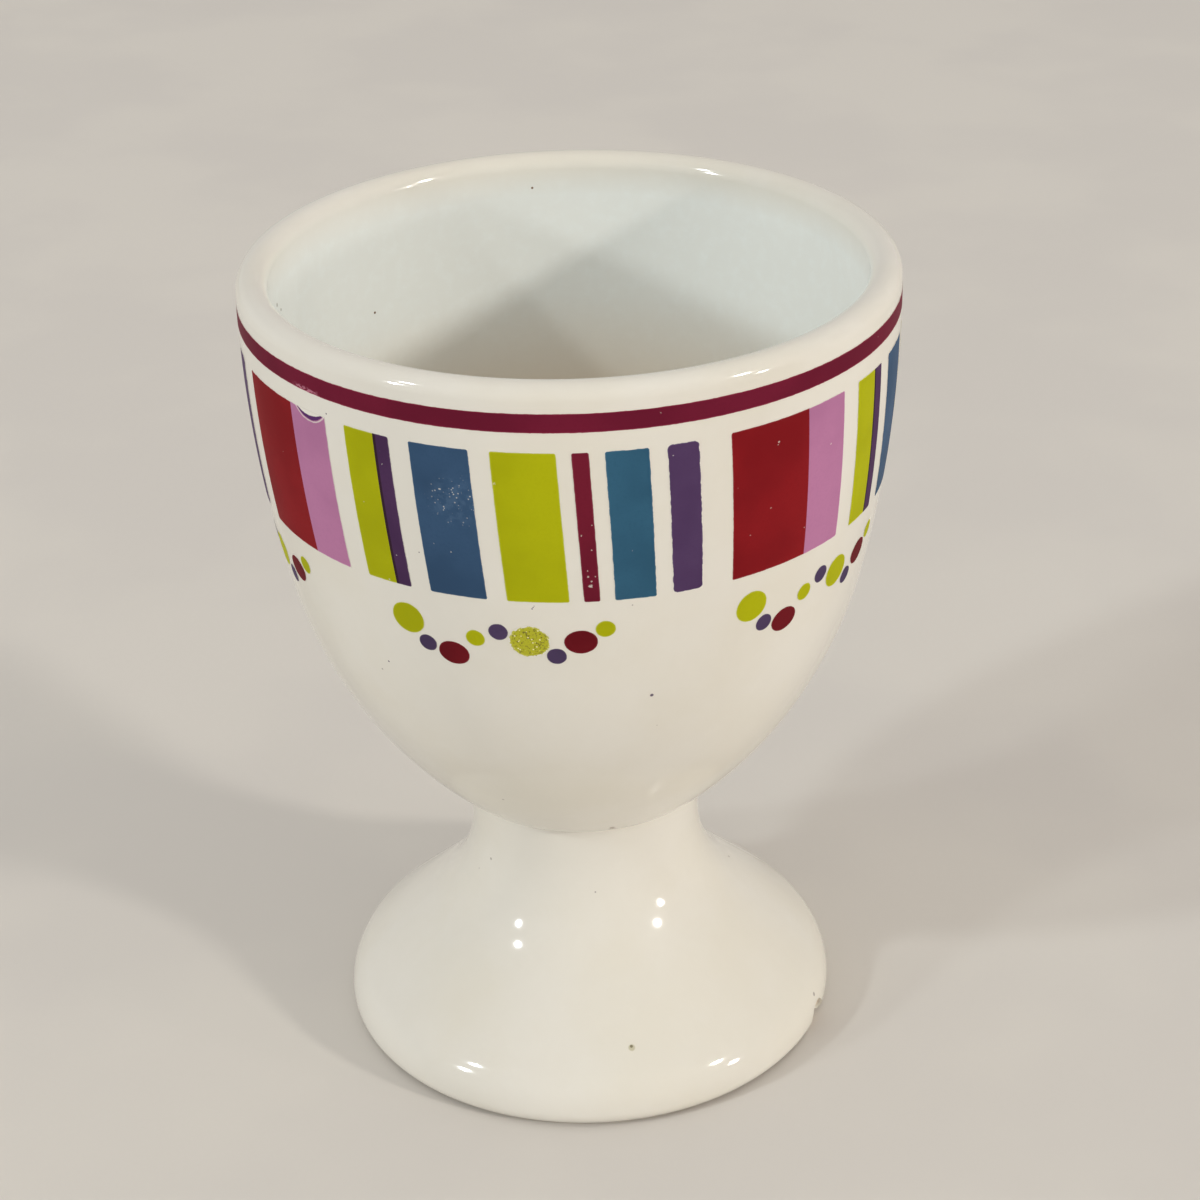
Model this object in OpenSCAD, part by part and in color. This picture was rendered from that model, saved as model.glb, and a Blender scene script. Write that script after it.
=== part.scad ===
// Footed egg cup of white glazed earthenware, printed with upright stripes and swags of dots.
// The origin is the middle of the foot ring on the table, and +Z is up.
// Azimuths are measured round +Z from the front, -Y, and grow towards +X.

/* [Bowl] */
// Diameter across the rim, the widest place of the cup
rim_d = 50; // [46:0.5:56]
// Height of the bowl, from its flat underside to the top of the rim
bowl_h = 44.8; // [41:0.2:50]
// Thickness of the bowl's wall, glaze included
wall = 2.4; // [2:0.1:3]
// Height of the plumb ring under the top of the rim
plumb_h = 3.4; // [2.4:0.1:5]
// Radius of the long curve down the side
side_radius = 97; // [80:1:120]
// Dip of the side curve at which the belly curve takes over, in degrees
belly_angle = 12.5; // [10:0.5:15]
// Diameter of the bowl's flat underside, measured to its sharp edge
underside_d = 21.2; // [20.8:0.2:24]
// Rounding of the underside's edge
underside_round = 0.8; // [0.5:0.1:0.9]
// Thickness of the bowl's floor, glaze included
floor_t = 4; // [3:0.2:5.4]
// Radius of the round that closes the well at its floor
well_round = 20.6; // [12:0.2:20.6]

/* [Foot] */
// Diameter of the foot at its widest
foot_d = 40.8; // [38:0.2:46]
// Diameter of the stem under the bowl
stem_d = 18.8; // [16:0.2:19.4]
// Height of the plumb stem between the foot's sweep and the bowl
stem_run = 3.9; // [2:0.1:8]
// Rounding of the foot at the table
foot_edge_radius = 1.4; // [1:0.1:1.8]
// Radius of the foot's shoulder
shoulder_radius = 4.2; // [3.6:0.1:6]
// Slope of the foot's cone, in degrees above level
foot_slope = 42; // [38:1:46]
// Radius of the hollow sweep from the cone up to the stem
sweep_radius = 11; // [9:0.5:12]
// Thickness of the foot's wall, glaze included
foot_wall = 3; // [2.4:0.1:3.3]
// Thickness of clay between the hollow's roof and the bowl's underside
roof_t = 5; // [4:0.2:6]

/* [Glaze and slip] */
// Thickness of the glaze
glaze_t = 0.25; // [0.15:0.01:0.3]
// Height of the glaze's lower edge above the table
glaze_line = 0.35; // [0.32:0.01:0.6]
// Thickness of the slip that sticks the bowl to the foot
slip_t = 0.4; // [0.2:0.1:0.8]

/* [Printed pattern] */
// Thickness of the printed enamel
enamel_t = 0.05; // [0.03:0.01:0.1]
// Drop from the top of the rim to the band's upper edge
band_drop = 1.92; // [1.6:0.01:2.6]
// Width of the band round the rim
band_w = 1.44; // [0.8:0.01:2]
// Drop from the top of the rim to the stripes' upper ends
stripe_drop = 4.83; // [4.7:0.01:6]
// Length of the stripes
stripe_len = 12; // [8:0.1:13]
// Width of the pattern before it repeats, half way down the stripes
repeat_w = 40.8; // [36:0.1:48]
// Lean of the stripes, in degrees, with their tops towards the left
stripe_lean = 2.9; // [0:0.1:5]
// Azimuth at which the printed sheet starts and ends, at the back of the cup
sheet_azimuth = -162.9; // [-170:0.1:-150]
// Drop from the top of the rim to the highest line of the dots
swag_drop = 19.2; // [18.6:0.1:21]
// Depth of a swag, from its highest dots to its lowest
swag_depth = 2.86; // [2:0.01:4]
// Azimuth at which the first swag starts, after the sheet's seam
swag_azimuth = -157.5; // [-162:0.1:-150]
// Diameter of the large lime dots
large_dot_d = 2.68; // [2:0.01:3]
// Width of the oval maroon dots
oval_dot_w = 2.43; // [2:0.01:2.8]
// Height of the oval maroon dots
oval_dot_h = 2.1; // [1.6:0.01:2.4]
// Diameter of the small lime and violet dots
small_dot_d = 1.46; // [1:0.01:1.8]

/* [Hidden] */
$fn = 144;

// Gap left between two fused layers, so that neither solid cuts the other
layer_gap = 0.01;

// Stripes in one repeat: colour, start and end as shares of the repeat
stripe_shares = [
    ["maroon", 0, 0.1655],
    ["lilac", 0.1655, 0.262],
    ["lime", 0.3075, 0.371],
    ["violet", 0.371, 0.403],
    ["blue", 0.442, 0.5505],
    ["lime", 0.5865, 0.6985],
    ["maroon", 0.7235, 0.753],
    ["blue", 0.779, 0.854],
    ["violet", 0.884, 0.941]
];

// Dots in one swag: kind, place along the swag's repeat and drop, as shares
dot_shares = [
    ["large lime", 0, 0.175],
    ["small violet", 0.0525, 0.835],
    ["oval maroon", 0.132, 1],
    ["small lime", 0.2035, 0.42],
    ["small violet", 0.272, 0.145],
    ["large lime", 0.358, 0.39],
    ["small violet", 0.4315, 0.83],
    ["oval maroon", 0.5, 0.39],
    ["small lime", 0.568, 0.015]
];
// Width of a swag's repeat as a share of the stripes' repeat
swag_repeat_share = 2 / 3;
// Corners of an oval dot's outline
oval_corners = 36;

// Straight steps that stand for each round stretch of the outlines
side_steps = 10;
belly_steps = 12;
well_steps = 20;
lip_steps = 16;
round_steps = 4;
edge_steps = 6;
shoulder_steps = 8;
sweep_steps = 12;
roof_steps = 14;

// The foot's curves turn this far, and a straight cone runs between them
slope_turn = 90 - foot_slope;
foot_r = foot_d / 2;
stem_r = stem_d / 2;
slope_run = (foot_r - stem_r - (shoulder_radius + sweep_radius) * (1 - cos(slope_turn))) / cos(foot_slope);

// Heights of the main levels above the table
stem_z = foot_edge_radius + (shoulder_radius + sweep_radius) * sin(slope_turn) + slope_run * sin(foot_slope);
neck_z = stem_z + stem_run;
top_z = neck_z + bowl_h;
widest_z = top_z - plumb_h;
floor_z = neck_z + floor_t;
roof_z = neck_z - roof_t;

// The rim is a half round as thick as the wall
rim_r = rim_d / 2;
lip_r = wall / 2;
lip_centre = [rim_r - lip_r, top_z - lip_r];

// Centres of curves are [radius, height] pairs, and their angles are counted up from level
side_centre = [rim_r - side_radius, widest_z];

// The belly curve leaves the side curve smoothly and ends at the underside's edge
belly_way = [cos(belly_angle), -sin(belly_angle)];
edge_to_side = side_centre - [underside_d / 2, neck_z];
belly_along = belly_way * edge_to_side;
belly_radius = (edge_to_side * edge_to_side + 2 * side_radius * belly_along + pow(side_radius, 2))
    / (2 * (belly_along + side_radius));
belly_centre = side_centre + (side_radius - belly_radius) * belly_way;

// The underside's edge is rounded into the belly curve
round_rise = belly_centre.y - neck_z - underside_round;
round_angle = -asin(round_rise / (belly_radius - underside_round));
round_centre = [
    belly_centre.x + (belly_radius - underside_round) * cos(round_angle),
    neck_z + underside_round
];

// The well's round runs from the inner belly curve to the floor, and at most reaches the axis
inner_belly_radius = belly_radius - wall;
well_drop = belly_centre.y - floor_z;
well_spare = inner_belly_radius - well_drop;
largest_on_belly = (well_drop - inner_belly_radius * sin(belly_angle)) / (1 - sin(belly_angle));
largest_on_axis = belly_centre.x < 0
    ? (inner_belly_radius + well_drop - pow(belly_centre.x, 2) / well_spare) / 2
    : largest_on_belly;
well_radius = min(well_round, largest_on_belly, largest_on_axis);
well_reach = sqrt(well_spare * (inner_belly_radius + well_drop - 2 * well_radius));
well_centre = [belly_centre.x + well_reach, floor_z + well_radius];
well_angle = -atan2(belly_centre.y - well_centre.y, well_reach);

// Centres of the foot's outer curves
foot_edge_centre = [foot_r - foot_edge_radius, foot_edge_radius];
shoulder_centre = [foot_r - shoulder_radius, foot_edge_radius];
sweep_centre = [stem_r + sweep_radius, stem_z];

// A ball on the axis roofs the foot's hollow, smooth with the inner sweep
inner_sweep_radius = sweep_radius + foot_wall;
roof_drop = stem_z - roof_z;
roof_radius = (pow(sweep_centre.x, 2) + pow(roof_drop, 2) - pow(inner_sweep_radius, 2))
    / (2 * (inner_sweep_radius - roof_drop));
roof_centre = [0, roof_z - roof_radius];
roof_angle = atan2(sweep_centre.y - roof_centre.y, sweep_centre.x);

// The foot body's top lies under the slip, and the slip under the bowl body
foot_body_z = neck_z + glaze_t - slip_t - 2 * layer_gap;

// Depth of the glaze's back under its face, which leaves the layer gap over the clay
glaze_depth = glaze_t - layer_gap;

// Print layout turned into heights and angles
stripe_top = top_z - stripe_drop;
stripe_middle = stripe_top - stripe_len / 2;
repeat_angle = repeat_w / surface_r(stripe_middle) * 180 / PI;
swag_angle = repeat_angle * swag_repeat_share;
swag_top = top_z - swag_drop;
dot_room = large_dot_d / surface_r(swag_top - swag_depth) * 180 / PI;

// Longer than the whole cup, so that a cut passes right through
reach = rim_d + bowl_h + foot_d;

// Points along a round stretch, without its first point unless skip is 0
function arc(centre, radius, from, to, steps, skip = 1) = [
    for (step = [skip : steps])
        let (angle = from + (to - from) * step / steps)
        centre + radius * [cos(angle), sin(angle)]
];

function reversed(line) = [for (i = [len(line) - 1 : -1 : 0]) line[i]];

// Outside of the bowl from its underside up to the lip, grown by grow
function bowl_outside(grow) = concat(
    arc(round_centre, underside_round + grow, -90, round_angle, round_steps, 0),
    arc(belly_centre, belly_radius + grow, round_angle, -belly_angle, belly_steps),
    arc(side_centre, side_radius + grow, -belly_angle, 0, side_steps),
    [[rim_r + grow, lip_centre.y]]
);

// Lip and inside of the bowl down to the middle of the well, grown by grow
function bowl_inside(grow) = concat(
    arc(lip_centre, lip_r + grow, 0, 180, lip_steps),
    arc(side_centre, side_radius - wall - grow, 0, -belly_angle, side_steps, 0),
    arc(belly_centre, inner_belly_radius - grow, -belly_angle, well_angle, round_steps),
    arc(well_centre, well_radius - grow, well_angle, -90, well_steps),
    [[0, floor_z + grow]]
);

// Outside of the foot from a height near the table up to a height on the stem, grown by grow
function foot_outside(grow, low, high) = concat(
    arc(foot_edge_centre, foot_edge_radius + grow,
        -asin((foot_edge_radius - low) / (foot_edge_radius + grow)), 0, edge_steps, 0),
    arc(shoulder_centre, shoulder_radius + grow, 0, slope_turn, shoulder_steps),
    arc(sweep_centre, sweep_radius - grow, 180 + slope_turn, 180, sweep_steps, 0),
    [[stem_r + grow, high]]
);

// Hollow under the foot from a height near the table up to its roof, with inset to the outside
function foot_inside(inset, low) = concat(
    [[foot_r - inset, low]],
    arc(shoulder_centre, shoulder_radius - inset, 0, slope_turn, round_steps, 0),
    arc(sweep_centre, sweep_radius + inset, 180 + slope_turn, 180 + roof_angle, sweep_steps, 0),
    arc(roof_centre, roof_radius + foot_wall - inset, roof_angle, 90, roof_steps)
);

// Radius of the bowl's outside at a height, and its dip below level there
function surface_r(z) =
    z >= widest_z ? rim_r
    : z >= side_centre.y - side_radius * sin(belly_angle)
        ? side_centre.x + sqrt(pow(side_radius, 2) - pow(z - side_centre.y, 2))
        : belly_centre.x + sqrt(pow(belly_radius, 2) - pow(z - belly_centre.y, 2));
function surface_dip(z) =
    z >= widest_z ? 0
    : z >= side_centre.y - side_radius * sin(belly_angle)
        ? asin((side_centre.y - z) / side_radius)
        : asin((belly_centre.y - z) / belly_radius);

// Skin of enamel on the bowl between two heights
module enamel_skin(low, high) {
    rotate_extrude() intersection() {
        translate([0, low]) square([reach, high - low]);
        polygon(concat(bowl_outside(layer_gap + enamel_t), reversed(bowl_outside(layer_gap))));
    }
}

// Half space on one side of a plane that stands on the surface at an azimuth and leans with the print
module print_side(azimuth, side) {
    rotate([0, 0, azimuth]) translate([0, 0, stripe_middle]) rotate([0, -stripe_lean, 0])
        translate([side * reach / 2, 0, 0]) cube(reach, center = true);
}

// All stripes of one colour, with those that would cross the seam left out
module stripes(colour) {
    for (copy = [0 : 360 / repeat_angle], stripe = stripe_shares) {
        start = (copy + stripe[1]) * repeat_angle;
        end = (copy + stripe[2]) * repeat_angle;
        if (stripe[0] == colour && end < 360)
            intersection() {
                enamel_skin(stripe_top - stripe_len, stripe_top);
                print_side(sheet_azimuth + start, 1);
                print_side(sheet_azimuth + end, -1);
            }
    }
}

// Post square to the surface, with a round or oval outline
module dot_post(width, height) {
    if (width == height) cylinder(d = width, h = wall, center = true);
    else linear_extrude(wall, center = true)
        polygon([for (corner = [0 : oval_corners - 1])
            let (turn = corner * 360 / oval_corners)
            [width / 2 * cos(turn), height / 2 * sin(turn)]]);
}

// All dots of one kind, with those that would reach the first swag again left out
module dots(kind, width, height) {
    for (copy = [0 : 360 / swag_angle], dot = dot_shares) {
        along = (copy + dot[1]) * swag_angle;
        z = swag_top - dot[2] * swag_depth;
        if (dot[0] == kind && along + dot_room < 360)
            intersection() {
                enamel_skin(z - width, z + width);
                rotate([0, 0, swag_azimuth + along]) translate([0, -surface_r(z), z])
                    rotate([90 + surface_dip(z), 0, 0]) dot_post(width, height);
            }
    }
}

module bowl_body() {
    color("whitesmoke") rotate_extrude() polygon(concat(
        [[0, neck_z + glaze_t]],
        bowl_outside(-glaze_t),
        bowl_inside(-glaze_t)
    ));
}

module foot_body() {
    color("whitesmoke") rotate_extrude() polygon(concat(
        [[foot_edge_centre.x, 0]],
        foot_outside(-glaze_t, glaze_t, foot_body_z),
        [[0, foot_body_z]],
        reversed(foot_inside(foot_wall - glaze_t, 0))
    ));
}

module joining_slip() {
    color("linen") translate([0, 0, foot_body_z + layer_gap]) cylinder(r = stem_r - glaze_t, h = slip_t);
}

// Glaze from the well over the lip, down the outside and under the bowl to the foot's edge
function coat_line(grow) = concat(
    foot_outside(grow, glaze_line, neck_z - grow),
    bowl_outside(grow),
    bowl_inside(grow)
);

module glaze_coat() {
    color("ivory") rotate_extrude() polygon(concat(coat_line(0), reversed(coat_line(-glaze_depth))));
}

module foot_hollow_glaze() {
    color("ivory") rotate_extrude() polygon(concat(
        foot_inside(foot_wall, glaze_line),
        reversed(foot_inside(foot_wall - glaze_depth, glaze_line))
    ));
}

module rim_band() {
    color([0.45, 0.08, 0.2]) enamel_skin(top_z - band_drop - band_w, top_z - band_drop);
}

module maroon_stripes() {
    color([0.5, 0.08, 0.12]) stripes("maroon");
}

module lilac_stripes() {
    color([0.7, 0.43, 0.63]) stripes("lilac");
}

module lime_stripes() {
    color([0.7, 0.67, 0.12]) stripes("lime");
}

module violet_stripes() {
    color([0.3, 0.18, 0.37]) stripes("violet");
}

module blue_stripes() {
    color([0.22, 0.35, 0.46]) stripes("blue");
}

module lime_dots() {
    color([0.7, 0.67, 0.12]) {
        dots("large lime", large_dot_d, large_dot_d);
        dots("small lime", small_dot_d, small_dot_d);
    }
}

module maroon_dots() {
    color([0.5, 0.08, 0.12]) dots("oval maroon", oval_dot_w, oval_dot_h);
}

module violet_dots() {
    color([0.3, 0.18, 0.37]) dots("small violet", small_dot_d, small_dot_d);
}

bowl_body();
foot_body();
joining_slip();
glaze_coat();
foot_hollow_glaze();
rim_band();
maroon_stripes();
lilac_stripes();
lime_stripes();
violet_stripes();
blue_stripes();
lime_dots();
maroon_dots();
violet_dots();
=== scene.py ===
# A footed egg cup in white glazed earthenware with printed stripes and dots, on a pale table.
# Metres. The cup's foot ring is centred on the origin, +Z is up and the print's front faces -Y.
from math import asin, atan2, cos, degrees, pi, radians, sin, sqrt, tan

import bpy
from mathutils import Matrix, Vector


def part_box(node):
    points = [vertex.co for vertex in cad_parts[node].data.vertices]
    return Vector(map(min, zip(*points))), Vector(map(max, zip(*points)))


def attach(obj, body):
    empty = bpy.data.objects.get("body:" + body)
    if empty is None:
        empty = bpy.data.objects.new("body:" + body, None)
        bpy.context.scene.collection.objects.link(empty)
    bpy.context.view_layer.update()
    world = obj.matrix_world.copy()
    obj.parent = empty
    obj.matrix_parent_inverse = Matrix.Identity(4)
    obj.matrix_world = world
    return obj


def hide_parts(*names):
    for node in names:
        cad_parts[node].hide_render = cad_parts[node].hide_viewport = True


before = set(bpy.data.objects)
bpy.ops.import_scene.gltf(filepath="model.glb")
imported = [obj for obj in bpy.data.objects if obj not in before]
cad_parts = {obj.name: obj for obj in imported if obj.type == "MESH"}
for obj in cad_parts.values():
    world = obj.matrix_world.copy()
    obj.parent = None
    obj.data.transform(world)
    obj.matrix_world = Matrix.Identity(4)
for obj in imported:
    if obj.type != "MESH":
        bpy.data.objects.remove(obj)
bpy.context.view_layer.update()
MM = 0.001

# Sizes of the cup, in millimetres and degrees
coat_low, coat_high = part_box("glaze_coat")
slip_low, slip_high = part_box("joining_slip")
band_low, band_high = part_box("rim_band")
rim_r = coat_high.x / MM
top_z = coat_high.z / MM
wall = 2.4
plumb_h = 3.4
side_radius = 97.0
belly_angle = 12.5
underside_r = 10.6
underside_round = 0.8
floor_t = 4.0
glaze_t = 0.25
layer_gap = 0.01
enamel_t = 0.016
enamel_gap = 0.006
on_glaze = enamel_gap + enamel_t
glaze_line = coat_low.z / MM
stem_r = slip_high.x / MM + glaze_t
neck_z = slip_high.z / MM - glaze_t + layer_gap
foot_r = 20.4
foot_edge_radius = 1.4
shoulder_radius = 4.2
sweep_radius = 11.0
foot_wall = 3.0
slope_turn = 48.0
stem_z = neck_z - 3.9
roof_z = neck_z - 5.0
neck_fillet = 0.3
ring_bevel_in, ring_bevel_out = 0.12, 0.1

# Faces round the cup's axis
glaze_steps, lining_steps, band_steps = 216, 144, 240

widest_z = top_z - plumb_h
floor_z = neck_z + floor_t
lip_r = wall / 2
side_x, side_y = rim_r - side_radius, widest_z
side_end_z = side_y - side_radius * sin(radians(belly_angle))

# The belly curve leaves the side curve smoothly and ends at the underside's edge
belly_way = Vector((cos(radians(belly_angle)), -sin(radians(belly_angle))))
edge_to_side = Vector((side_x - underside_r, side_y - neck_z))
belly_along = belly_way.dot(edge_to_side)
belly_radius = (edge_to_side.length_squared + 2 * side_radius * belly_along + side_radius**2) / (
    2 * (belly_along + side_radius))
belly_x, belly_y = Vector((side_x, side_y)) + (side_radius - belly_radius) * belly_way
round_angle = -degrees(asin((belly_y - neck_z - underside_round) / (belly_radius - underside_round)))
round_x = belly_x + (belly_radius - underside_round) * cos(radians(round_angle))

# The well's floor curve meets the inside of the belly curve smoothly
inner_belly = belly_radius - wall
well_drop = belly_y - floor_z
well_radius = (belly_x**2 + well_drop**2 - inner_belly**2) / (2 * (well_drop - inner_belly))
well_angle = -degrees(atan2(well_drop - well_radius, -belly_x))

# The foot's shoulder, its sweep up to the stem and the roof of its hollow
shoulder = (foot_r - shoulder_radius, foot_edge_radius)
sweep_x = stem_r + sweep_radius
sweep = (sweep_x, stem_z)
inner_sweep = sweep_radius + foot_wall
roof_drop = stem_z - roof_z
roof_radius = (sweep_x**2 + roof_drop**2 - inner_sweep**2) / (2 * (inner_sweep - roof_drop))
roof_angle = degrees(atan2(roof_drop + roof_radius, sweep_x))

# The print: sizes as on the sheet, and azimuths from the front, which grow towards +X
band_top, band_low_z = band_high.z / MM, band_low.z / MM
stripe_top = top_z - 4.83
stripe_len = 12.0
stripe_middle = stripe_top - stripe_len / 2
stripe_lean = 2.9
sheet_repeats = 4
sheet_azimuth = -162.9
swags = 6
swag_azimuth = -157.5
swag_top = top_z - 19.2
swag_depth = 2.86


def side_r(z):
    """Radius of the bowl's outside at a height."""
    if z >= widest_z:
        return rim_r
    if z >= side_end_z:
        return side_x + sqrt(side_radius**2 - (z - side_y) ** 2)
    return belly_x + sqrt(belly_radius**2 - (z - belly_y) ** 2)


def side_dip(z):
    """Angle in degrees by which the bowl's outside faces below level at a height."""
    if z >= widest_z:
        return 0
    if z >= side_end_z:
        return degrees(asin((side_y - z) / side_radius))
    return degrees(asin((belly_y - z) / belly_radius))


repeat_angle = degrees(40.8 / side_r(stripe_middle))
swag_angle = repeat_angle * sheet_repeats / swags


# Working by hand
def clear_selection():
    if bpy.context.mode != "OBJECT":
        bpy.ops.object.mode_set(mode="OBJECT")
    bpy.ops.object.select_all(action="DESELECT")


def only(piece):
    clear_selection()
    piece.select_set(True)
    bpy.context.view_layer.objects.active = piece


def settle(piece):
    """Puts the piece's place, turn and size into its mesh."""
    only(piece)
    bpy.ops.object.transform_apply(location=True, rotation=True, scale=True)


def select_points(piece, wanted):
    """Selects, for the next operator, the points of a piece whose place passes a test."""
    only(piece)
    bpy.ops.object.mode_set(mode="EDIT")
    bpy.ops.mesh.select_mode(type="VERT")
    bpy.ops.mesh.select_all(action="DESELECT")
    bpy.ops.object.mode_set(mode="OBJECT")
    for point in piece.data.vertices:
        point.select = wanted(point.co)
    bpy.ops.object.mode_set(mode="EDIT")


def apply_all(piece):
    only(piece)
    for modifier in list(piece.modifiers):
        bpy.ops.object.modifier_apply(modifier=modifier.name)


def smooth_but_edges(piece, angle):
    """Shades a piece smooth except where its faces meet at more than an angle in degrees."""
    only(piece)
    bpy.ops.object.shade_smooth_by_angle(angle=radians(angle))


def turned(centre, radius, angle):
    """Point (radius out, height) at an angle on a round of the outline."""
    return centre[0] + radius * cos(radians(angle)), centre[1] + radius * sin(radians(angle))


def pen_down(name, point):
    """A single point in the plane of the outline, from which the outline is drawn."""
    clear_selection()
    bpy.ops.mesh.primitive_plane_add(size=MM, location=(point[0] * MM, 0, point[1] * MM))
    piece = bpy.context.object
    piece.name = piece.data.name = name
    settle(piece)
    bpy.ops.object.mode_set(mode="EDIT")
    bpy.ops.mesh.select_mode(type="VERT")
    bpy.ops.mesh.select_all(action="SELECT")
    bpy.ops.mesh.merge(type="CENTER")
    return piece


def line_by(dx, dz):
    bpy.ops.mesh.extrude_region_move(TRANSFORM_OT_translate={"value": (dx * MM, 0, dz * MM)})


def sweep_by(centre, angle, steps):
    """Carries the outline on round a centre, by an angle counted from outwards towards up."""
    middle = (centre[0] * MM, 0, centre[1] * MM)
    bpy.ops.mesh.spin(steps=steps, angle=radians(angle), center=middle, axis=(0, 1, 0))


def slope_by(depth, up=True):
    """Draws the foot's straight slope, at a depth under its surface, up to the sweep or back down."""
    x0, z0 = turned(shoulder, shoulder_radius - depth, slope_turn)
    x1, z1 = turned(sweep, sweep_radius + depth, 180 + slope_turn)
    way = 1 if up else -1
    line_by(way * (x1 - x0), way * (z1 - z0))


def throw_on_wheel(piece, steps):
    """Turns the drawn outline once round the cup's axis and closes it."""
    bpy.ops.mesh.select_all(action="SELECT")
    bpy.ops.mesh.spin(steps=steps, angle=2 * pi, center=(0, 0, 0), axis=(0, 0, 1))
    bpy.ops.mesh.select_all(action="SELECT")
    bpy.ops.mesh.remove_doubles(threshold=1e-6)
    bpy.ops.mesh.normals_make_consistent(inside=False)
    bpy.ops.object.mode_set(mode="OBJECT")
    only(piece)
    bpy.ops.object.shade_smooth()


def keep(piece, slot, finish, *nodes):
    """Gives a finished piece its material and its place in the model."""
    piece.data.materials.clear()
    piece.data.materials.append(finish)
    piece.data.name = piece.name
    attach(piece, "root")
    if nodes:
        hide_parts(*nodes)


def give_thickness(piece, thickness, side=-1):
    """Thickens a skin under its outer face, or above its face with side 1."""
    only(piece)
    shell = piece.modifiers.new("thickness", "SOLIDIFY")
    shell.thickness = thickness * MM
    shell.offset = side
    shell.use_even_offset = True
    shell.use_rim = True
    apply_all(piece)


def join(pieces, name):
    clear_selection()
    for piece in pieces:
        piece.select_set(True)
    bpy.context.view_layer.objects.active = pieces[0]
    if len(pieces) > 1:
        bpy.ops.object.join()
    pieces[0].name = pieces[0].data.name = name
    return pieces[0]


def turn_round_cup(piece, azimuth):
    """Turns a piece made at the cup's front to its azimuth, which grows towards +X."""
    piece.rotation_euler = (0, 0, radians(azimuth))
    settle(piece)


def mark_points(piece, name, value):
    """Stores a value with each point of a piece, such as its distance from a print's own edge."""
    marks = piece.data.attributes.new(name, "FLOAT", "POINT")
    for i, point in enumerate(piece.data.vertices):
        marks.data[i].value = value(point.co)


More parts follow.
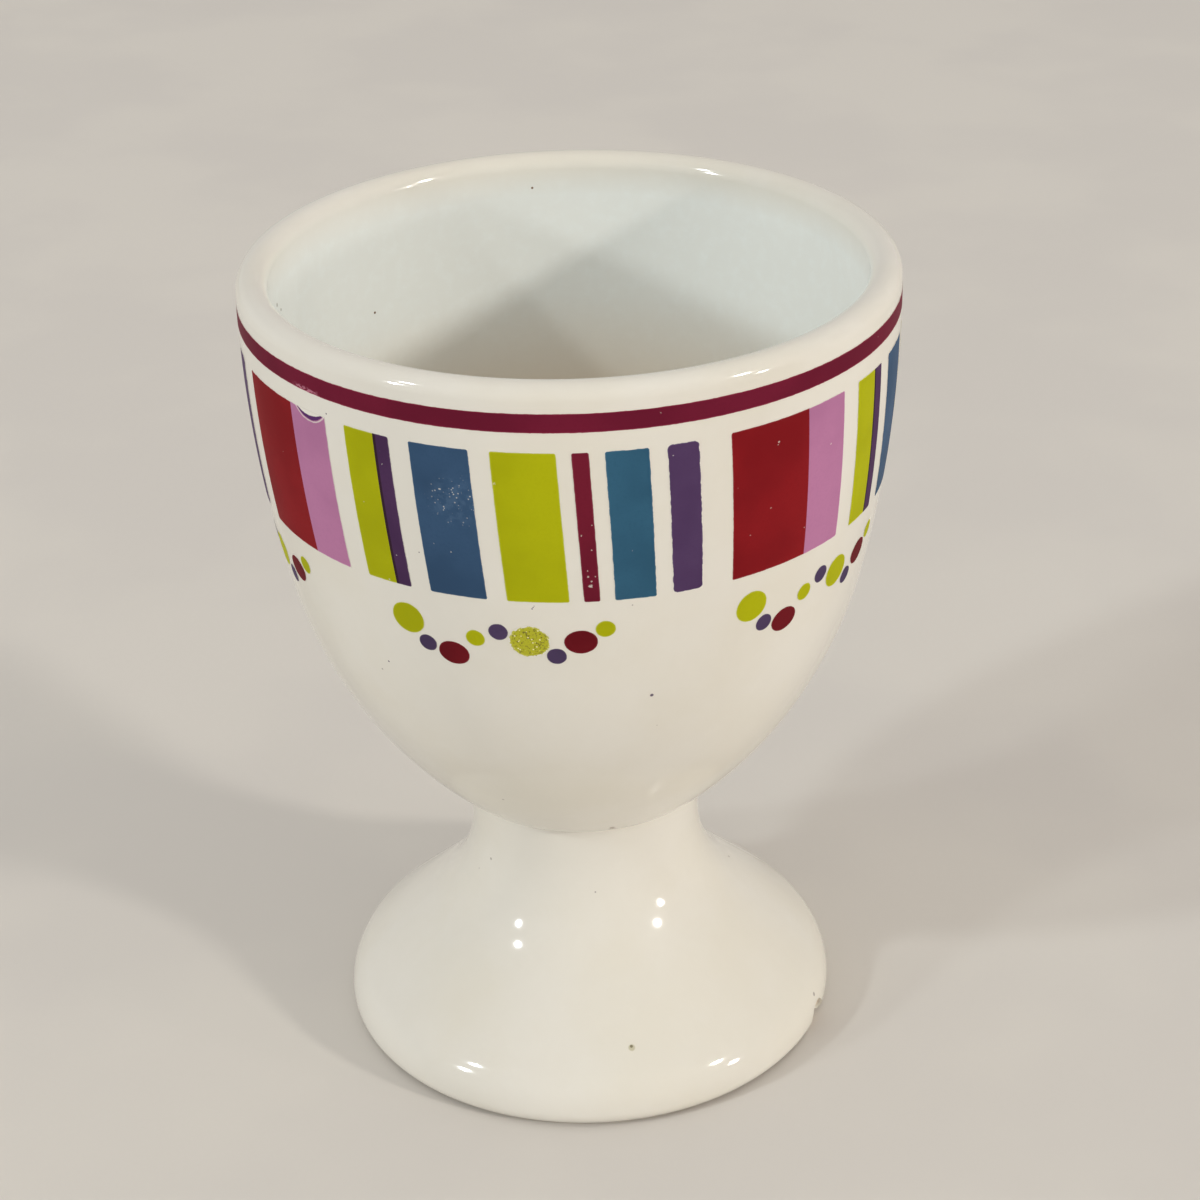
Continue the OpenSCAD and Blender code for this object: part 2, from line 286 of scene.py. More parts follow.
# Finishes
class Recipe:
    """A material's nodes, added one by one and joined as they are added."""

    def __init__(self, name):
        self.finish = bpy.data.materials.new(name)
        self.finish.use_nodes = True
        self.nodes, self.links = self.finish.node_tree.nodes, self.finish.node_tree.links
        self.surface = self.nodes["Principled BSDF"]
        self.place = self.nodes.new("ShaderNodeTexCoord").outputs["Object"]

    def join(self, source, socket):
        """Sets an input to a number or a colour, or links another node's output to it."""
        if isinstance(source, (int, float, tuple)):
            socket.default_value = source
        else:
            self.links.new(source, socket)

    def math(self, kind, a, b=0.0):
        node = self.nodes.new("ShaderNodeMath")
        node.operation = kind
        self.join(a, node.inputs[0])
        self.join(b, node.inputs[1])
        return node.outputs[0]

    def plus(self, a, b):
        return self.math("ADD", a, b)

    def minus(self, a, b):
        return self.math("SUBTRACT", a, b)

    def times(self, a, b):
        return self.math("MULTIPLY", a, b)

    def larger(self, a, b):
        return self.math("MAXIMUM", a, b)

    def spread_out(self, shift, stretch=(1, 1, 1)):
        """The place on the cup, moved and stretched, so that each pattern falls elsewhere."""
        mapping = self.nodes.new("ShaderNodeMapping")
        self.links.new(self.place, mapping.inputs["Vector"])
        mapping.inputs["Location"].default_value = shift
        mapping.inputs["Scale"].default_value = stretch
        return mapping.outputs[0]

    def noise(self, size, detail=3.0, roughness=0.5, shift=(0, 0, 0), stretch=(1, 1, 1)):
        """Cloudy variation from 0 to 1 whose blots are about size millimetres wide."""
        where = self.spread_out(shift, stretch)
        node = self.nodes.new("ShaderNodeTexNoise")
        self.links.new(where, node.inputs["Vector"])
        node.inputs["Scale"].default_value = 1 / (size * MM)
        node.inputs["Detail"].default_value = detail
        node.inputs["Roughness"].default_value = roughness
        return node.outputs[0]

    def specks(self, spacing, radius, shift=(0, 0, 0)):
        """Small round spots of a radius, one in each cell of a spacing, 1 inside and 0 outside."""
        where = self.spread_out(shift)
        node = self.nodes.new("ShaderNodeTexVoronoi")
        self.links.new(where, node.inputs["Vector"])
        node.inputs["Scale"].default_value = 1 / (spacing * MM)
        return self.fade(node.outputs["Distance"], radius / spacing, 0.5 * radius / spacing)

    def fade(self, value, none, full):
        """0 where a value is at none, 1 where it is at full, and smooth between. Either may be the larger."""
        node = self.nodes.new("ShaderNodeMapRange")
        node.interpolation_type = "SMOOTHSTEP"
        self.join(value, node.inputs["Value"])
        self.join(none, node.inputs["From Min"])
        self.join(full, node.inputs["From Max"])
        return node.outputs["Result"]

    def mix(self, share, a, b):
        """Colour a, with a share from 0 to 1 of colour b."""
        node = self.nodes.new("ShaderNodeMix")
        node.data_type = "RGBA"
        self.join(share, node.inputs["Factor"])
        self.join(a, node.inputs["A"])
        self.join(b, node.inputs["B"])
        return node.outputs["Result"]

    def away(self, point):
        """Distance in metres from a point in millimetres."""
        node = self.nodes.new("ShaderNodeVectorMath")
        node.operation = "DISTANCE"
        self.links.new(self.place, node.inputs[0])
        node.inputs[1].default_value = tuple(v * MM for v in point)
        return node.outputs["Value"]

    def near(self, point, radius, soft=0.4, ragged=None):
        """1 within a radius of a point on the cup, in millimetres, fading over the soft share of it."""
        distance = self.away(point)
        if ragged:
            distance = self.plus(distance, ragged)
        return self.fade(distance, radius * MM, radius * (1 - soft) * MM)

    def height(self):
        node = self.nodes.new("ShaderNodeSeparateXYZ")
        self.links.new(self.place, node.inputs[0])
        return node.outputs["Z"]

    def attribute(self, name):
        node = self.nodes.new("ShaderNodeAttribute")
        node.attribute_name = name
        return node.outputs["Fac"]

    def edge_gap(self, corner):
        """Distance from a print's edge in millimetres, with rounded corners. It ends at the corner radius."""
        short = []
        for name in ("from_side", "from_end"):
            lack = self.larger(self.minus(corner, self.attribute(name)), 0.0)
            short.append(self.times(lack, lack))
        return self.minus(corner, self.math("SQRT", self.plus(*short)))

    def bump(self, value, depth, strength):
        node = self.nodes.new("ShaderNodeBump")
        node.inputs["Strength"].default_value = strength
        node.inputs["Distance"].default_value = depth * MM
        self.links.new(value, node.inputs["Height"])
        self.links.new(node.outputs[0], self.surface.inputs["Normal"])

    def done(self, colour, roughness):
        self.join(colour, self.surface.inputs["Base Color"])
        self.join(roughness, self.surface.inputs["Roughness"])
        self.surface.inputs["IOR"].default_value = 1.5
        return self.finish


def paint(*screen):
    """A colour written as red, green and blue from 0 to 255 on a screen, as the shader takes it."""
    shares = [v / 255 for v in screen]
    return tuple(v / 12.92 if v <= 0.04045 else ((v + 0.055) / 1.055) ** 2.4 for v in shares) + (1.0,)


def round_at(azimuth, z, r):
    """A point at an azimuth from the front, a height and a radius."""
    return r * sin(radians(azimuth)), -r * cos(radians(azimuth)), z


def on_cup(azimuth, z):
    """A point on the bowl's outside, in millimetres."""
    return round_at(azimuth, z, side_r(z))


glaze_white = paint(223, 219, 210)
dark_speck, grey_speck, brown_speck = paint(92, 80, 98), paint(168, 160, 154), paint(112, 84, 62)
olive_speck, pale_stain = paint(118, 110, 84), paint(190, 184, 158)

# Flaws in the glaze: where each one is, its radius and its colour
bowl_specks = (
    (on_cup(13.1, 40.9), 0.17, dark_speck), (on_cup(-7.96, 49.37), 0.07, dark_speck),
    (on_cup(-7.77, 49.5), 0.06, dark_speck), (on_cup(-7.58, 49.62), 0.06, grey_speck),
    (on_cup(-43.7, 62.3), 0.08, dark_speck), (on_cup(-27.1, 53.1), 0.06, dark_speck),
    (on_cup(9.0, 49.4), 0.07, grey_speck), (on_cup(-38.6, 42.1), 0.1, dark_speck),
    (on_cup(-41.1, 41.0), 0.1, grey_speck), (on_cup(-23.0, 28.0), 0.12, grey_speck),
)
foot_specks = (
    (round_at(10.2, 5.7, 17.6), 0.34, pale_stain), (round_at(10.17, 5.82, 17.56), 0.15, olive_speck),
    (round_at(68.6, 3.0, 20.08), 0.22, grey_speck),
)
neck_specks = (
    (round_at(10.7, 22.55, 11.24), 0.34, brown_speck), (round_at(10.3, 22.9, 11.62), 0.26, brown_speck),
    (round_at(-55.6, 16.3, 9.55), 0.14, grey_speck), (round_at(102.0, 10.5, 12.47), 0.12, brown_speck),
    (round_at(-64.2, 14.7, 9.94), 0.07, grey_speck), (round_at(3.55, 15.6, 9.69), 0.09, grey_speck),
)
inner_specks = (
    (round_at(-134.2, 56.2, 22.33), 0.13, brown_speck), (round_at(-172.8, 64.1, 22.6), 0.12, brown_speck),
    (round_at(-96.6, 62.3, 22.59), 0.2, brown_speck), (round_at(-99.2, 61.5, 22.58), 0.14, brown_speck),
)


def white_glaze():
    g = Recipe("white_tin_glaze")
    cloud = g.noise(14, 4, 0.55)
    fine = g.noise(1.1, 3, 0.6, shift=(3, 1, 2))
    colour = g.mix(g.fade(cloud, 0.36, 0.66), glaze_white, paint(220, 215, 203))
    # Painted light: the inside of the bowl is painted paler and a little blue-green, for the cool light that
    # fills it.
    colour = g.mix(g.attribute("inside"), colour, paint(236, 241, 239))
    colour = g.mix(g.times(g.fade(fine, 0.8, 0.4), 0.12), colour, paint(216, 211, 201))
    # Painted shade: deep in the well the glaze is painted warmer and a little darker, for the shade there.
    colour = g.mix(g.times(g.attribute("painted_well_shade"), 0.9), colour, paint(225, 213, 195))
    dusty = g.fade(g.noise(6, 2, 0.5, shift=(7, 7, 7)), 0.5, 0.56)
    dust = g.times(g.specks(4.2, 0.055), dusty)
    colour = g.mix(g.times(dust, 0.75), colour, paint(112, 96, 84))
    # A brown line, broken by noise, is painted along the neck's crease, within 0.35 mm of the neck's height.
    from_neck = g.math("ABSOLUTE", g.minus(g.height(), neck_z * MM))
    broken = g.fade(g.noise(2.2, 3, 0.6, shift=(5, 0, 1)), 0.42, 0.62)
    crease = g.times(g.fade(from_neck, 0.35 * MM, 0.05 * MM), broken)
    colour = g.mix(g.times(crease, 0.55), colour, paint(128, 98, 72))
    for point, radius, tone in (*bowl_specks, *foot_specks, *neck_specks, *inner_specks):
        colour = g.mix(g.near(point, radius), colour, tone)
    orange_peel = g.noise(3.2, 2, 0.4, shift=(1, 9, 4))
    g.bump(orange_peel, 0.02, 0.35)
    return g.done(colour, g.plus(g.times(g.noise(5, 3, 0.6, shift=(2, 2, 2)), 0.06), 0.055))


def bare_clay():
    g = Recipe("biscuit_clay")
    grain = g.noise(0.35, 5, 0.65)
    cloud = g.noise(5, 3, 0.5, shift=(1, 1, 1))
    colour = g.mix(g.fade(grain, 0.4, 0.62), paint(224, 214, 198), paint(206, 192, 172))
    colour = g.mix(g.times(g.fade(cloud, 0.45, 0.6), 0.4), colour, paint(182, 164, 144))
    g.bump(grain, 0.05, 0.8)
    return g.done(colour, g.plus(g.times(grain, 0.2), 0.72))


def slip_clay():
    g = Recipe("joining_slip_clay")
    grain = g.noise(0.6, 4, 0.6, shift=(4, 4, 4))
    colour = g.mix(g.fade(grain, 0.4, 0.6), paint(222, 212, 196), paint(200, 188, 168))
    g.bump(grain, 0.04, 0.6)
    return g.done(colour, g.plus(g.times(grain, 0.15), 0.65))


def enamel(name, colour, shade, fringe, ragged=0.02, corner=0.16, pinholes=0.0, flaws=None):
    """Fired print: even colour, a paler fringe, slightly ragged edges and a few pinholes down to the glaze."""
    e = Recipe(name)
    edge = e.edge_gap(corner)
    cloud = e.noise(7, 3, 0.5)
    speckle = e.noise(0.22, 2, 0.6, shift=(6, 1, 3))
    mixed = e.mix(e.fade(cloud, 0.66, 0.36), colour, shade)
    mixed = e.mix(e.times(e.fade(speckle, 0.46, 0.7), 0.3), mixed, shade)
    mixed = e.mix(e.times(e.fade(edge, 0.11, 0.02), 0.45), mixed, fringe)
    nibble = e.times(e.fade(e.noise(0.7, 4, 0.6, shift=(2, 8, 5)), 0.36, 0.62), ragged)
    bare = e.fade(e.minus(edge, nibble), 0.01, -0.01)
    patches = e.fade(e.noise(3.4, 3, 0.6, shift=(9, 3, 1)), 0.6 - pinholes, 0.66 - pinholes)
    holes = e.times(e.specks(1.1, 0.055, shift=(0.3, 0.7, 0.2)), patches)
    bare = e.larger(bare, e.times(holes, 0.7))
    if flaws:
        mixed, bare = flaws(e, mixed, bare)
    mixed = e.mix(bare, mixed, glaze_white)
    e.bump(e.plus(e.noise(1.4, 3, 0.6, shift=(3, 3, 8)), e.times(speckle, 0.2)), 0.02, 0.25)
    e.surface.inputs["Specular IOR Level"].default_value = 0.0
    e.surface.inputs["Coat Weight"].default_value = 0.15
    e.surface.inputs["Coat Roughness"].default_value = 0.1
    return e.done(mixed, e.plus(e.times(cloud, 0.1), 0.12))


def nicked(*spots):
    """Flaws of a print: small spots, each with its azimuth, height and radius, where the glaze shows."""
    def flaws(e, mixed, bare):
        grain = e.noise(0.13, 2, 0.6, shift=(2, 7, 1))
        ragged = e.times(e.minus(grain, 0.42), 0.3 * MM)
        for azimuth, z, radius in spots:
            spot = e.near(on_cup(azimuth, z), radius, 0.7, ragged)
            bare = e.larger(bare, e.times(spot, 0.75))
        return mixed, bare
    return flaws


def pinhole_patch(e, mixed, bare):
    """The wide blue stripe at the front left has a patch of fine pinholes above its middle."""
    fine = e.specks(0.27, 0.07, shift=(0.1, 0.4, 0.9))
    scattered = e.fade(e.noise(0.7, 3, 0.6, shift=(4, 2, 7)), 0.42, 0.6)
    where = e.times(e.near(on_cup(-19.9, 57.8), 2.4, 0.6), scattered)
    mixed = e.mix(e.times(where, 0.12), mixed, paint(120, 146, 176))
    bare = e.larger(bare, e.times(e.times(fine, where), 0.75))
    return nicked((-24.1, 54.1, 0.08), (-21.1, 53.6, 0.08))(e, mixed, bare)


def folded_top(e, mixed, bare):
    """A crescent nick in the left lilac stripe's top edge, over a dark fold and a white hairline."""
    rough = e.times(e.minus(e.noise(0.5, 3, 0.6, shift=(8, 8, 1)), 0.5), 0.16 * MM)
    outer = e.plus(e.away(on_cup(-48.0, stripe_top + 1.36)), rough)
    inner = e.plus(e.away(on_cup(-48.2, stripe_top + 2.58)), rough)
    fold = e.fade(outer, 2.02 * MM, 1.97 * MM)
    hairline = e.minus(e.fade(outer, 2.19 * MM, 2.13 * MM), e.fade(outer, 2.08 * MM, 2.04 * MM))
    mixed = e.mix(fold, mixed, paint(86, 46, 100))
    bare = e.larger(bare, e.fade(inner, 2.92 * MM, 2.87 * MM))
    bare = e.larger(bare, e.times(hairline, 0.65))
    return nicked((47.2, 58.3, 0.1))(e, mixed, bare)


def overprinted_edge(e, mixed, bare):
    """The dark violet stripe lies over its lime neighbour, so that its left edge is nearly black."""
    over = e.fade(e.attribute("from_left"), 0.27, 0.2)
    mixed = e.mix(e.times(over, 0.8), mixed, paint(44, 26, 30))
    spots = nicked((-32.6, 60.7, 0.07), (-32.4, 59.7, 0.08), (-31.6, 52.4, 0.08), (-31.1, 52.7, 0.06))
    return spots(e, mixed, bare)


def band_drip_with_sheen(e, mixed, bare):
    """Pale pink streaks are painted at the rim line's lower edge above the left lilac stripe, as highlight on
    a drip of the print there.
    """
    low = e.fade(e.height(), (band_low_z + 0.42) * MM, (band_low_z + 0.2) * MM)
    streaks = e.fade(e.noise(0.28, 3, 0.6, shift=(1, 6, 2), stretch=(1, 1, 2.2)), 0.44, 0.56)
    # Painted highlight: pale pink streaks along the drip at the rim line's lower edge.
    drip_sheen = e.times(e.times(e.near(on_cup(-48.6, band_low_z), 1.7, 0.5), low), streaks)
    mixed = e.mix(e.times(drip_sheen, 0.75), mixed, paint(190, 124, 144))
    return nicked((13.7, 64.4, 0.1))(e, mixed, bare)


def worn_lime_and_glints():
    """The lime dot whose surface has gone grainy, dark grains mixed with bright specks painted as glints, with
    a ragged rim.
    """
    w = Recipe("worn_lime_and_glints_print")
    edge = w.attribute("from_side")
    grains = w.noise(0.17, 3, 0.75, shift=(2, 5, 4))
    mixed = w.mix(w.fade(grains, 0.46, 0.38), paint(176, 174, 22), paint(92, 84, 8))
    # Painted glints: small bright specks over the grainy surface.
    glints = w.specks(0.3, 0.075, shift=(0.5, 0.1, 0.3))
    mixed = w.mix(w.times(glints, 0.95), mixed, paint(250, 248, 196))
    mixed = w.mix(w.times(w.fade(edge, 0.24, 0.05), 0.4), mixed, paint(208, 206, 100))
    nibble = w.times(w.fade(w.noise(0.3, 3, 0.7, shift=(7, 5, 5)), 0.36, 0.62), 0.13)
    mixed = w.mix(w.fade(w.minus(edge, nibble), 0.02, -0.02), mixed, glaze_white)
    w.bump(grains, 0.06, 0.7)
    w.surface.inputs["Specular IOR Level"].default_value = 0.4
    return w.done(mixed, w.plus(w.times(grains, 0.3), 0.2))


glaze_finish = white_glaze()
clay_finish = bare_clay()

# The bowl's clay and the slip lie under the glaze as they were built
for node, finish in (("bowl_body", clay_finish), ("joining_slip", slip_clay())):
    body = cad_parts[node].data
    body.materials.clear()
    body.materials.append(finish)


def share(value):
    """A value held between 0 and 1."""
    return min(1.0, max(0.0, value))


def inside_share(r, z):
    """0 on the cup's outside and its lip, growing to 1 on the inside of the bowl."""
    if z < floor_z - 0.1:
        return 0.0
    below_lip = share((top_z - z - 0.4) / 3.0)
    return below_lip * share((side_r(z) - wall / 2 - r) / (wall / 2))


def well_shade_share(r, z):
    """0 on the cup's outside and near its rim, growing to 1 deep in the well, where shade is painted into the
    glaze.
    """
    return inside_share(r, z) * share((55 - z) / 9)


def throw_glaze_coat():
    """The glaze from just above the table up the foot and the bowl, over the lip and down into the well."""
    edge = (foot_r - foot_edge_radius, foot_edge_radius)
    start = -degrees(asin((foot_edge_radius - glaze_line) / foot_edge_radius))
    coat = pen_down("white_glaze_coat", turned(edge, foot_edge_radius, start))
    sweep_by(edge, -start, 8)
    sweep_by(shoulder, slope_turn, 14)
    slope_by(0)
    sweep_by(sweep, -slope_turn, 22)
    line_by(0, neck_z - neck_fillet - stem_z)
    sweep_by((stem_r + neck_fillet, neck_z - neck_fillet), -90, 6)
    line_by(round_x - stem_r - neck_fillet, 0)
    sweep_by((round_x, neck_z + underside_round), round_angle + 90, 5)
    sweep_by((belly_x, belly_y), -belly_angle - round_angle, 30)
    sweep_by((side_x, side_y), belly_angle, 22)
    line_by(0, top_z - lip_r - widest_z)
    sweep_by((rim_r - lip_r, top_z - lip_r), 180, 24)
    line_by(0, widest_z - top_z + lip_r)
    sweep_by((side_x, side_y), -belly_angle, 14)
    sweep_by((belly_x, belly_y), well_angle + belly_angle, 10)
    sweep_by((0, floor_z + well_radius), -90 - well_angle, 24)
    throw_on_wheel(coat, glaze_steps)
    # These marks set where the inside of the bowl is painted paler for light and where the well is painted
    # warmer for shade.
    mark_points(coat, "inside", lambda p: inside_share(p.xy.length / MM, p.z / MM))
    mark_points(coat, "painted_well_shade", lambda p: well_shade_share(p.xy.length / MM, p.z / MM))
    give_thickness(coat, glaze_t - layer_gap)
    return coat


def throw_foot():
    """The foot's clay: its standing ring, its outside up to the slip, and its hollow back down to the ring."""
    edge_x, edge_y = foot_r - foot_edge_radius, foot_edge_radius
    clay_edge = foot_edge_radius - glaze_t
    inset = foot_wall - glaze_t
    foot = pen_down("biscuit_foot", (foot_r - inset, edge_y))
    line_by(0, ring_bevel_in - edge_y)
    line_by(ring_bevel_in, -ring_bevel_in)
    line_by(edge_x - ring_bevel_out - (foot_r - inset + ring_bevel_in), 0)
    line_by(ring_bevel_out, ring_bevel_out)
    line_by(0, edge_y - clay_edge - ring_bevel_out)
    sweep_by((edge_x, edge_y), 90, 8)
    sweep_by(shoulder, slope_turn, 10)
    slope_by(glaze_t)
    sweep_by(sweep, -slope_turn, 12)
    top = slip_low.z / MM - layer_gap
    line_by(0, top - stem_z)
    line_by(glaze_t - stem_r, 0)
    line_by(0, roof_z + glaze_t - top)
    sweep_by((0, roof_z - roof_radius), roof_angle - 90, 12)
    sweep_by(sweep, slope_turn - roof_angle, 12)
    slope_by(inset, up=False)
    sweep_by(shoulder, -slope_turn, 6)
    throw_on_wheel(foot, glaze_steps)
    return foot


def throw_hollow_glaze():
    """The glaze inside the foot, from just above the table up to the middle of the hollow's roof."""
    lining = pen_down("hollow_glaze_lining", (foot_r - foot_wall, glaze_line))
    line_by(0, foot_edge_radius - glaze_line)
    sweep_by(shoulder, slope_turn, 8)
    slope_by(foot_wall)
    sweep_by(sweep, roof_angle - slope_turn, 16)
    sweep_by((0, roof_z - roof_radius), 90 - roof_angle, 18)
    throw_on_wheel(lining, lining_steps)
    give_thickness(lining, glaze_t - layer_gap, 1)
    return lining


def chip_foot(coat, foot):
    """Knocks a small chip out of the foot's right edge, through the glaze and into the clay."""
    clear_selection()
    bpy.ops.mesh.primitive_ico_sphere_add(subdivisions=3, radius=MM, location=(0, 0, 0))
    tool = bpy.context.object
    bpy.ops.object.mode_set(mode="EDIT")
    bpy.ops.mesh.select_all(action="SELECT")
    bpy.ops.transform.vertex_random(offset=0.04 * MM, seed=7)
    bpy.ops.object.mode_set(mode="OBJECT")
    tool.scale = (1.65, 1.35, 1.75)
    tool.location = (0, -foot_r * MM, 0.55 * MM)
    settle(tool)
    turn_round_cup(tool, 68.8)
    for piece in (coat, foot):
        cut = piece.modifiers.new("chip", "BOOLEAN")
        cut.operation, cut.solver, cut.object = "DIFFERENCE", "EXACT", tool
        apply_all(piece)
        smooth_but_edges(piece, 35)
    bpy.data.objects.remove(tool)


def lay_on_glaze(piece, coat):
    """Presses a flat print at the cup's front onto the glaze and gives it its thickness."""
    wrap = piece.modifiers.new("lay on glaze", "SHRINKWRAP")
    wrap.target = coat
    wrap.wrap_method = "PROJECT"
    wrap.wrap_mode = "ABOVE_SURFACE"
    wrap.use_project_z = True
    wrap.use_positive_direction = True
    wrap.use_negative_direction = True
    wrap.offset = on_glaze * MM
    apply_all(piece)
    settle(piece)
    give_thickness(piece, enamel_t)
    smooth_but_edges(piece, 40)


def cut_stripe(name, start, end, joined, coat):
    """One stripe at the front, from its shares of the repeat. Its edges lean, and meet below the cup.
    A side that is joined to the next stripe isn't worn as an open edge is."""
    clear_selection()
    columns, rows = 14, 30
    bpy.ops.mesh.primitive_grid_add(x_subdivisions=columns, y_subdivisions=rows, size=MM, location=(0, 0, 0))
    stripe = bpy.context.object
    stripe.name = name
    width = 2 * rim_r * sin(radians((end - start) / 2 * repeat_angle))
    stripe.scale = (width, stripe_len, 1)
    settle(stripe)
    left, right = (1.0 if side == joined else 0.0 for side in ("left", "right"))
    mark_points(stripe, "from_side", lambda p: min(width / 2 + p.x / MM + left, width / 2 - p.x / MM + right))
    mark_points(stripe, "from_end", lambda p: stripe_len / 2 - abs(p.y) / MM)
    mark_points(stripe, "from_left", lambda p: width / 2 + p.x / MM)
    for row in range(rows + 1):
        height = (row / rows - 0.5) * stripe_len
        narrow = side_r(stripe_middle + height) / rim_r
        select_points(stripe, lambda p: abs(p.y - height * MM) < 0.1 * stripe_len / rows * MM)
        bpy.ops.transform.resize(value=(narrow, 1, 1), center_override=(0, height * MM, 0))
        bpy.ops.transform.translate(value=(-height * tan(radians(stripe_lean)) * MM, 0, 0))
    bpy.ops.object.mode_set(mode="OBJECT")
    stand_off = 4
    stripe.rotation_euler = (pi / 2, 0, 0)
    stripe.location = (0, -(rim_r + stand_off) * MM, stripe_middle * MM)
    bpy.context.view_layer.update()
    lay_on_glaze(stripe, coat)
    return stripe


def copies_round_cup(piece, name, azimuths):
    """Copies of a print made at the front, each with its own mesh, set round the cup and joined."""
    copies = []
    for azimuth in azimuths:
        copy = piece.copy()
        copy.data = piece.data.copy()
        bpy.context.collection.objects.link(copy)
        turn_round_cup(copy, azimuth)
        copies.append(copy)
    bpy.data.objects.remove(piece)
    return join(copies, name)


def stripe_azimuths(start, end):
    """Where a stripe's copies stand. The last repeat stops before it would run over the first at the back."""
    middle = (start + end) / 2
    whole = [repeat for repeat in range(sheet_repeats) if (repeat + end) * repeat_angle < 360]
    return [sheet_azimuth + (repeat + middle) * repeat_angle for repeat in whole]


def cut_dot(name, width, height, z, coat):
    """One dot at the front, square to the glaze, ringed so that it bends with the bowl."""
    clear_selection()
    bpy.ops.mesh.primitive_circle_add(vertices=48, radius=MM / 2, fill_type="NGON")
    dot = bpy.context.object
    dot.name = name
    dot.scale = (width, height, 1)
    settle(dot)
    half = min(width, height) / 2
    bpy.ops.object.mode_set(mode="EDIT")
    bpy.ops.mesh.select_all(action="SELECT")
    for ring in (0.03, 0.06, 0.1, 0.14, 0.14, 0.12, 0.12):
        bpy.ops.mesh.inset(thickness=ring * half * MM)
    bpy.ops.mesh.poke()
    bpy.ops.object.mode_set(mode="OBJECT")

    def from_rim(p):
        return (1 - sqrt((2 * p.x / width) ** 2 + (2 * p.y / height) ** 2) / MM) * half

    mark_points(dot, "from_side", from_rim)
    mark_points(dot, "from_end", lambda p: 1.0)
    dip = radians(side_dip(z))
    stand_off = 2
    dot.rotation_euler = (pi / 2 + dip, 0, 0)
    dot.location = (0, -(side_r(z) + stand_off * cos(dip)) * MM, (z - stand_off * sin(dip)) * MM)
    bpy.context.view_layer.update()
    lay_on_glaze(dot, coat)
    return dot


def wind_band():
    """The line round the rim, a ring of enamel on the plumb part of the glaze."""
    band = pen_down("rim_band_line", (rim_r + on_glaze, band_low_z))
    rows = 12
    for row in range(rows):
        line_by(0, (band_top - band_low_z) / rows)
    throw_on_wheel(band, band_steps)
    mark_points(band, "from_side", lambda p: 1.0)
    mark_points(band, "from_end", lambda p: min(band_top - p.z / MM, p.z / MM - band_low_z))
    give_thickness(band, enamel_t)
    smooth_but_edges(band, 40)
    return band


coat = throw_glaze_coat()
foot = throw_foot()
lining = throw_hollow_glaze()

# Each print's colour, its shade, the paler colour of its fringe and its flaws
maroon = enamel(
    "maroon_print", paint(132, 22, 28), paint(120, 17, 24), paint(156, 66, 78), flaws=nicked(
        (34.8, 60.2, 0.13), (34.6, 60.0, 0.11), (27.0, 57.5, 0.09), (33.8, 55.1, 0.1), (29.9, 53.4, 0.09),
        (42.0, 52.3, 0.09), (42.7, 51.6, 0.08)))
narrow_maroon = enamel(
    "narrow_maroon_print", paint(109, 25, 45), paint(98, 21, 40), paint(150, 74, 92), flaws=nicked(
        (2.0, 51.3, 0.2), (2.2, 51.7, 0.12), (1.6, 52.1, 0.1), (1.6, 52.6, 0.09), (2.8, 52.1, 0.09),
        (0.7, 55.5, 0.11), (2.3, 54.3, 0.1), (2.4, 56.3, 0.08)))
dot_maroon = enamel("maroon_dot_print", paint(106, 18, 28), paint(94, 14, 24), paint(140, 56, 66))
band_maroon = enamel(
    "band_print", paint(108, 24, 48), paint(98, 20, 43), paint(172, 66, 92), flaws=band_drip_with_sheen)
lilac = enamel(
    "lilac_print", paint(178, 118, 156), paint(168, 110, 148), paint(200, 150, 184), flaws=folded_top)
lime = enamel(
    "lime_print", paint(170, 172, 12), paint(160, 162, 8), paint(206, 208, 96), flaws=nicked(
        (-12.9, 59.5, 0.12), (-37.1, 56.2, 0.06), (-34.0, 50.1, 0.07)))
dark_violet = enamel(
    "dark_violet_print", paint(76, 48, 84), paint(67, 42, 76), paint(110, 90, 120),
    pinholes=0.04, flaws=overprinted_edge)
violet = enamel(
    "violet_print", paint(82, 60, 96), paint(74, 52, 88), paint(120, 104, 140),
    ragged=0.06, corner=0.4, flaws=nicked((15.6, 61.1, 0.08)))
dot_violet = enamel("violet_dot_print", paint(76, 60, 92), paint(67, 53, 83), paint(110, 98, 120))
wide_blue = enamel(
    "wide_blue_print", paint(57, 84, 115), paint(48, 73, 102), paint(90, 116, 144), flaws=pinhole_patch)
blue = enamel(
    "blue_print", paint(50, 92, 118), paint(43, 81, 106), paint(90, 130, 152),
    ragged=0.035, flaws=nicked((8.9, 54.0, 0.07), (6.4, 51.4, 0.06)))
worn_dot = worn_lime_and_glints()

# Each stripe's start and end as shares of the repeat, and the side on which it joins its neighbour
stripes = (
    ("maroon_wide_stripes", 0, 0.1655, "right", "maroon", maroon),
    ("lilac_wide_stripes", 0.1655, 0.262, "left", "lilac", lilac),
    ("lime_narrow_stripes", 0.3075, 0.371, "right", "lime", lime),
    ("dark_violet_stripes", 0.371, 0.403, "left", "violet", dark_violet),
    ("blue_wide_stripes", 0.442, 0.5505, "", "blue", wide_blue),
    ("lime_wide_stripes", 0.5865, 0.6985, "", "lime", lime),
    ("maroon_narrow_stripes", 0.7235, 0.753, "", "maroon", narrow_maroon),
    ("blue_middle_stripes", 0.779, 0.854, "", "blue", blue),
    ("violet_middle_stripes", 0.884, 0.941, "", "violet", violet),
)
for name, start, end, joined, colour, finish in stripes:
    one = cut_stripe(name, start, end, joined, coat)
    ring = copies_round_cup(one, name, stripe_azimuths(start, end))
    keep(ring, colour + "_enamel", finish, colour + "_stripes")

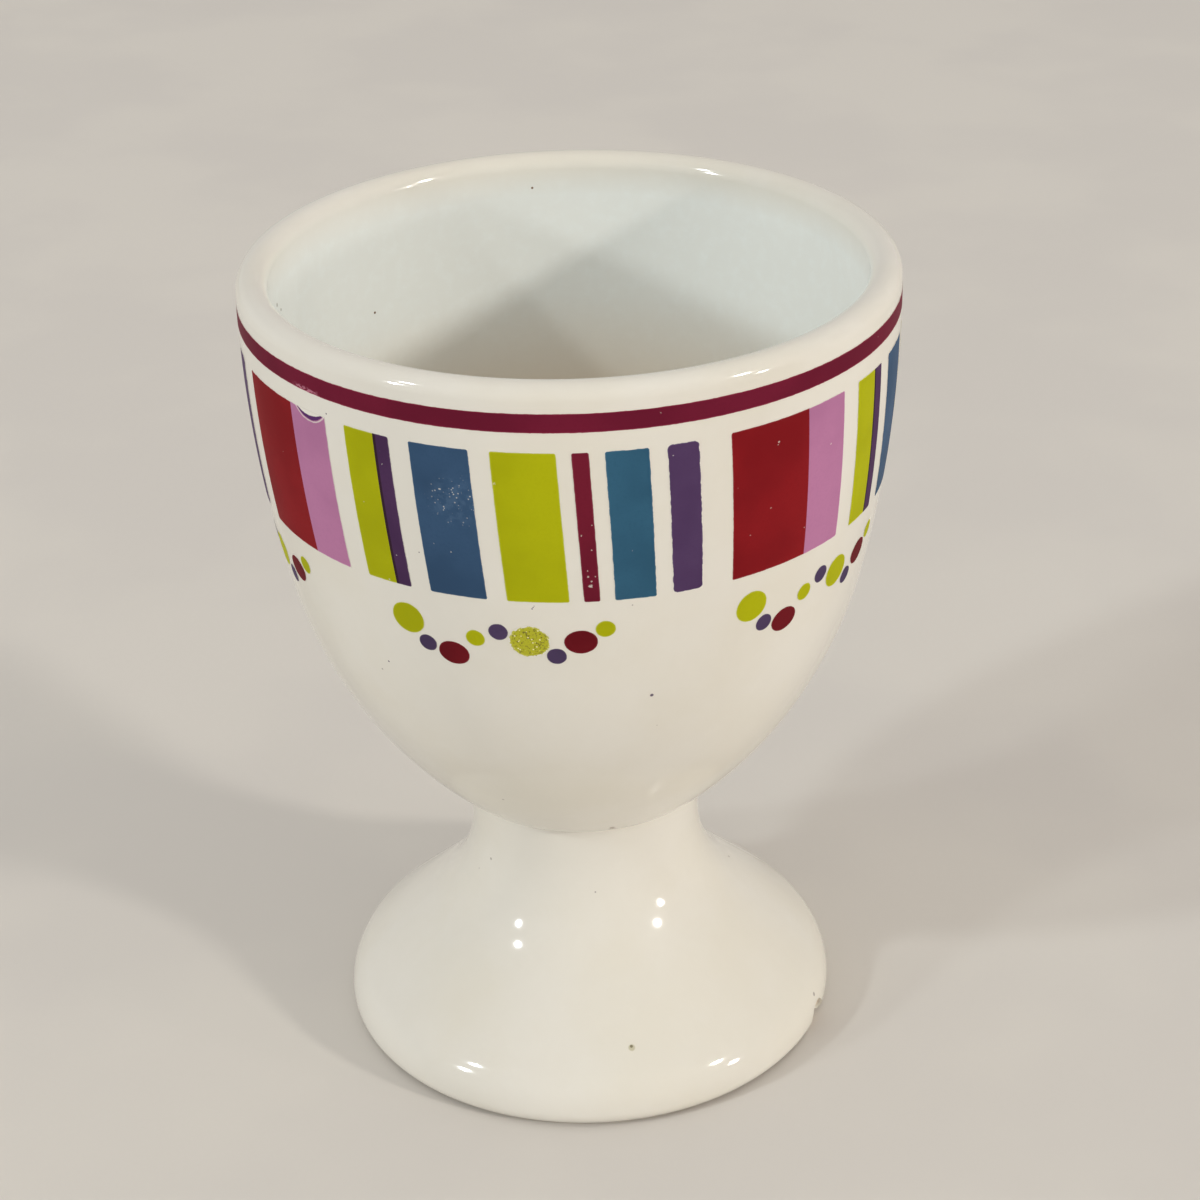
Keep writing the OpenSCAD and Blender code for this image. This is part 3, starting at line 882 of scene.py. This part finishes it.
# Each dot's share of the way along its swag and of the swag's depth
dots = (
    ("lime_large", 0, 0.175), ("violet_small", 0.0525, 0.835), ("maroon_oval", 0.132, 1),
    ("lime_small", 0.2035, 0.42), ("violet_small", 0.272, 0.145), ("lime_large", 0.358, 0.39),
    ("violet_small", 0.4315, 0.83), ("maroon_oval", 0.5, 0.39), ("lime_small", 0.568, 0.015),
)
dot_sizes = {
    "lime_large": (2.68, 2.68), "lime_small": (1.46, 1.46), "violet_small": (1.46, 1.46),
    "maroon_oval": (2.43, 2.1),
}
dot_finishes = {"lime": lime, "violet": dot_violet, "maroon": dot_maroon}
worn_place, worn_swag, worn_size = 5, 2, (3.0, 2.8)
groups = {}
for place, (kind, along, drop) in enumerate(dots):
    z = swag_top - drop * swag_depth
    one = cut_dot(f"{kind}_{place}", *dot_sizes[kind], z, coat)
    azimuths = [swag_azimuth + (swag + along) * swag_angle for swag in range(swags)]
    if place == worn_place:
        apart = cut_dot("worn_dot", *worn_size, z, coat)
        worn = copies_round_cup(apart, "worn_lime_dot", [azimuths.pop(worn_swag)])
        keep(worn, "lime_enamel", worn_dot, "lime_dots")
    groups.setdefault(kind, []).append(copies_round_cup(one, f"{kind}_{place}", azimuths))
for kind, rings in groups.items():
    colour = kind.split("_")[0]
    keep(join(rings, kind + "_dots"), colour + "_enamel", dot_finishes[colour], colour + "_dots")

keep(wind_band(), "maroon_enamel", band_maroon, "rim_band")
chip_foot(coat, foot)
keep(coat, "white_glaze", glaze_finish, "glaze_coat")
keep(foot, "earthenware", clay_finish, "foot_body")
keep(lining, "white_glaze", glaze_finish, "foot_hollow_glaze")

# Table, light and camera
clear_selection()
bpy.ops.mesh.primitive_plane_add(size=12, location=(0, 0, 0))
table = bpy.context.object
table.name = "table"
top = Recipe("pale_table")
tone = top.mix(top.fade(top.noise(40, 3, 0.5), 0.4, 0.6), paint(217, 212, 205), paint(213, 208, 202))
table.data.materials.append(top.done(tone, 0.75))

world = bpy.data.worlds.new("studio")
bpy.context.scene.world = world
world.use_nodes = True
world.node_tree.nodes["Background"].inputs["Color"].default_value = (1.0, 0.965, 0.925, 1)
world.node_tree.nodes["Background"].inputs["Strength"].default_value = 0.62

# Two stands, one each side of the camera, each with a high and a low round lamp. The right one has warmer
# light, and its low lamp is nearly level with the cup and throws a narrow beam.
lamp_reach = 1.4
lamp_size = 0.12
cup_middle = Vector((0, 0, 0.035))


def hang_lamp(name, azimuth, height, power, beam, tint):
    """A round lamp at an azimuth and a height in metres, turned to the cup, with a beam in degrees."""
    data = bpy.data.lights.new(name, "AREA")
    data.shape, data.size, data.spread = "DISK", lamp_size, radians(beam)
    data.energy, data.color = power, tint
    lamp = bpy.data.objects.new(name, data)
    bpy.context.collection.objects.link(lamp)
    lamp.location = round_at(azimuth, height, lamp_reach)
    lamp.rotation_mode = "QUATERNION"
    lamp.rotation_quaternion = (cup_middle - lamp.location).to_track_quat("-Z", "Y")


hang_lamp("left_high_lamp", -60, 0.956, 4.9, 180, (0.92, 0.99, 1.0))
hang_lamp("left_low_lamp", -60, 0.479, 3.8, 180, (0.94, 1.0, 1.0))
hang_lamp("right_high_lamp", 58, 0.55, 7.6, 180, (1.0, 0.96, 0.89))
hang_lamp("right_low_lamp", 64, 0.171, 0.11, 40, (1.0, 0.96, 0.9))

# The camera. Its focal length is in pixels of a picture that is 1200 wide.
tilt, pan, roll = radians(28.182), radians(0.506), radians(-1.513)
focal, picture, sensor = 2693.07, 1200, 36
camera_place = Vector((0, -190.53, 139.28)) * MM
forward = Vector((sin(pan) * cos(tilt), cos(pan) * cos(tilt), -sin(tilt)))
level = Vector((cos(pan), -sin(pan), 0))
upright = level.cross(forward)
right = cos(roll) * level + sin(roll) * upright
upward = -sin(roll) * level + cos(roll) * upright
eye = bpy.data.cameras.new("camera")
eye.sensor_width, eye.sensor_fit = sensor, "HORIZONTAL"
eye.lens = focal / picture * sensor
eye.clip_start, eye.clip_end = 0.01, 10
camera = bpy.data.objects.new("camera", eye)
bpy.context.collection.objects.link(camera)
seat = Matrix((right, upward, -forward)).transposed().to_4x4()
seat.translation = camera_place
camera.matrix_world = seat
bpy.context.scene.camera = camera
bpy.context.scene.view_settings.view_transform = "Standard"

clear_selection()
